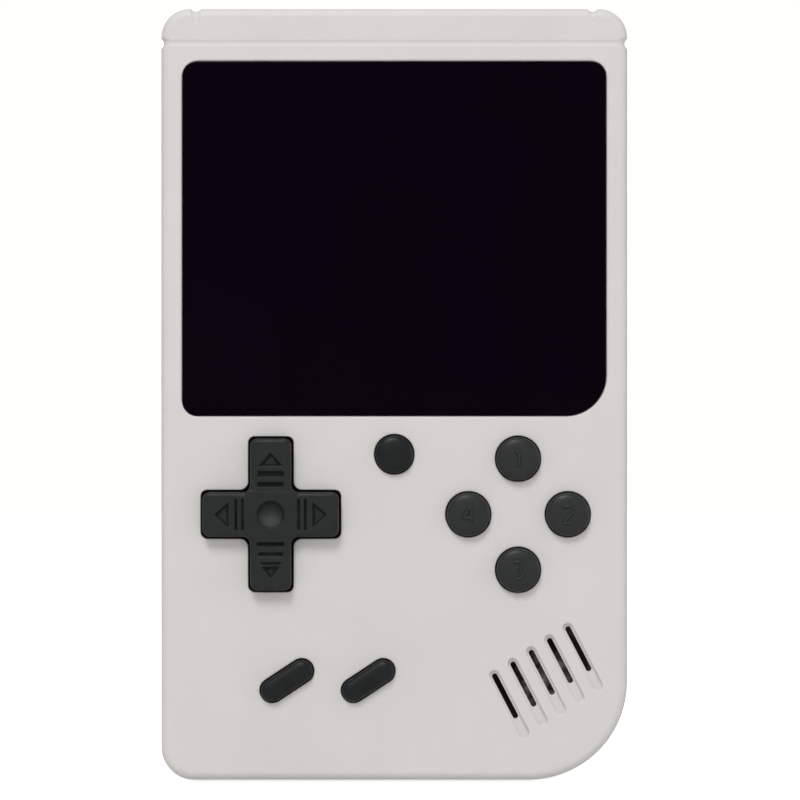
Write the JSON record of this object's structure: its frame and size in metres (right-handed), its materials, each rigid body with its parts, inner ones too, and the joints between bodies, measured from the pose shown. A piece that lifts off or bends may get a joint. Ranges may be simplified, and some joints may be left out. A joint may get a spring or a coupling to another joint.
{
  "type": "handheld game console",
  "caption": "Upright pocket game console: pale two-part shell, large black screen lens, rocking D-pad, round and slanted pill buttons, slotted speaker, volume wheel and battery door.",
  "frame": {"origin": "middle of the box under the bottom edge, on the surface that the console stands on", "axes": "+Z to the top edge, +X to the player's right, the screen faces -Y and the back +Y"},
  "size_m": [0.07, 0.0222, 0.1158],
  "materials": {
    "shell_plastic": "fine moulded texture, satin",
    "lens_black": "high gloss",
    "tape_black": "matt",
    "display_glass": "gloss",
    "backlight_white": "satin",
    "ribbon_amber": "satin",
    "foam_grey": "matt foam",
    "board_green": "satin solder resist",
    "resin_black": "satin",
    "key_plastic": "satin moulded plastic",
    "mat_silicone": "matt silicone",
    "plated_steel": "plated",
    "cone_paper": "matt",
    "battery_wrap": "satin film",
    "socket_black": "satin",
    "contact_gold": "gold plated",
    "screw_steel": "zinc plated"
  },
  "bodies": {
    "console": {"front_shell": "shell_plastic", "rear_shell": "shell_plastic", "screen_lens": "lens_black", "lens_tape": "tape_black", "lcd_glass": "display_glass", "lcd_backlight": "backlight_white", "lcd_flex": "ribbon_amber", "lcd_foam_pads": "foam_grey", "main_pcb": "board_green", "processor_blob": "resin_black", "flash_chip": "resin_black", "dpad_mat": "mat_silicone", "face_button_mat": "mat_silicone", "reset_mat": "mat_silicone", "menu_button_mat": "mat_silicone", "speaker_frame": "plated_steel", "speaker_cone": "cone_paper", "speaker_magnet": "plated_steel", "speaker_gasket": "foam_grey", "battery": "battery_wrap", "battery_contact_block": "socket_black", "battery_contact_blades": "contact_gold", "power_switch_body": "plated_steel", "volume_pot_body": "socket_black", "av_jack": "socket_black", "usb_socket": "plated_steel", "usb_tongue": "socket_black", "case_screws": "screw_steel", "pcb_screws": "screw_steel"},
    "dpad_pivot": {"dpad_pivot_ball": "screw_steel"},
    "dpad": {"dpad": "key_plastic"},
    "face_button_top": {"face_button_top": "key_plastic"},
    "face_button_right": {"face_button_right": "key_plastic"},
    "face_button_bottom": {"face_button_bottom": "key_plastic"},
    "face_button_left": {"face_button_left": "key_plastic"},
    "reset_button": {"reset_button": "key_plastic"},
    "select_button": {"select_button": "key_plastic"},
    "start_button": {"start_button": "key_plastic"},
    "volume_wheel": {"volume_wheel": "key_plastic"},
    "power_slider": {"power_slider": "key_plastic"},
    "battery_door": {"battery_door": "shell_plastic"}
  },
  "joints": [
    {"name": "dpad_rock_up_down", "type": "hinge", "parent": "console", "child": "dpad_pivot", "pos_m": [-0.0185, -0.0036, 0.0399], "axis": [1, 0, 0], "range_deg": [-3, 3], "stiffness_Nm_per_rad": 0.1, "deforming": ["dpad_mat"]},
    {"name": "dpad_rock_left_right", "type": "hinge", "parent": "dpad_pivot", "child": "dpad", "pos_m": [-0.0185, -0.0036, 0.0399], "axis": [0, 0, 1], "range_deg": [-3, 3], "stiffness_Nm_per_rad": 0.1, "deforming": ["dpad_mat"]},
    {"name": "face_button_top_press", "type": "slide", "parent": "console", "child": "face_button_top", "axis": [0, 1, 0], "range_m": [0, 0.0012], "stiffness_N_per_m": 500, "deforming": ["face_button_mat"]},
    {"name": "face_button_right_press", "type": "slide", "parent": "console", "child": "face_button_right", "axis": [0, 1, 0], "range_m": [0, 0.0012], "stiffness_N_per_m": 500, "deforming": ["face_button_mat"]},
    {"name": "face_button_bottom_press", "type": "slide", "parent": "console", "child": "face_button_bottom", "axis": [0, 1, 0], "range_m": [0, 0.0012], "stiffness_N_per_m": 500, "deforming": ["face_button_mat"]},
    {"name": "face_button_left_press", "type": "slide", "parent": "console", "child": "face_button_left", "axis": [0, 1, 0], "range_m": [0, 0.0012], "stiffness_N_per_m": 500, "deforming": ["face_button_mat"]},
    {"name": "reset_button_press", "type": "slide", "parent": "console", "child": "reset_button", "axis": [0, 1, 0], "range_m": [0, 0.001], "stiffness_N_per_m": 500, "deforming": ["reset_mat"]},
    {"name": "select_button_press", "type": "slide", "parent": "console", "child": "select_button", "axis": [0, 1, 0], "range_m": [0, 0.001], "stiffness_N_per_m": 500, "deforming": ["menu_button_mat"]},
    {"name": "start_button_press", "type": "slide", "parent": "console", "child": "start_button", "axis": [0, 1, 0], "range_m": [0, 0.001], "stiffness_N_per_m": 500, "deforming": ["menu_button_mat"]},
    {"name": "volume_wheel_turn", "type": "hinge", "parent": "console", "child": "volume_wheel", "pos_m": [-0.0274, 0.0038, 0.0922], "axis": [0, 1, 0], "range_deg": [-140, 140]},
    {"name": "power_slider_slide", "type": "slide", "parent": "console", "child": "power_slider", "axis": [0, 0, 1], "range_m": [0, 0.0025]},
    {"name": "battery_door_tilt", "type": "hinge", "parent": "console", "child": "battery_door", "pos_m": [0, 0.0111, 0.06775], "axis": [1, 0, 0], "range_deg": [0, 70]}
  ]
}
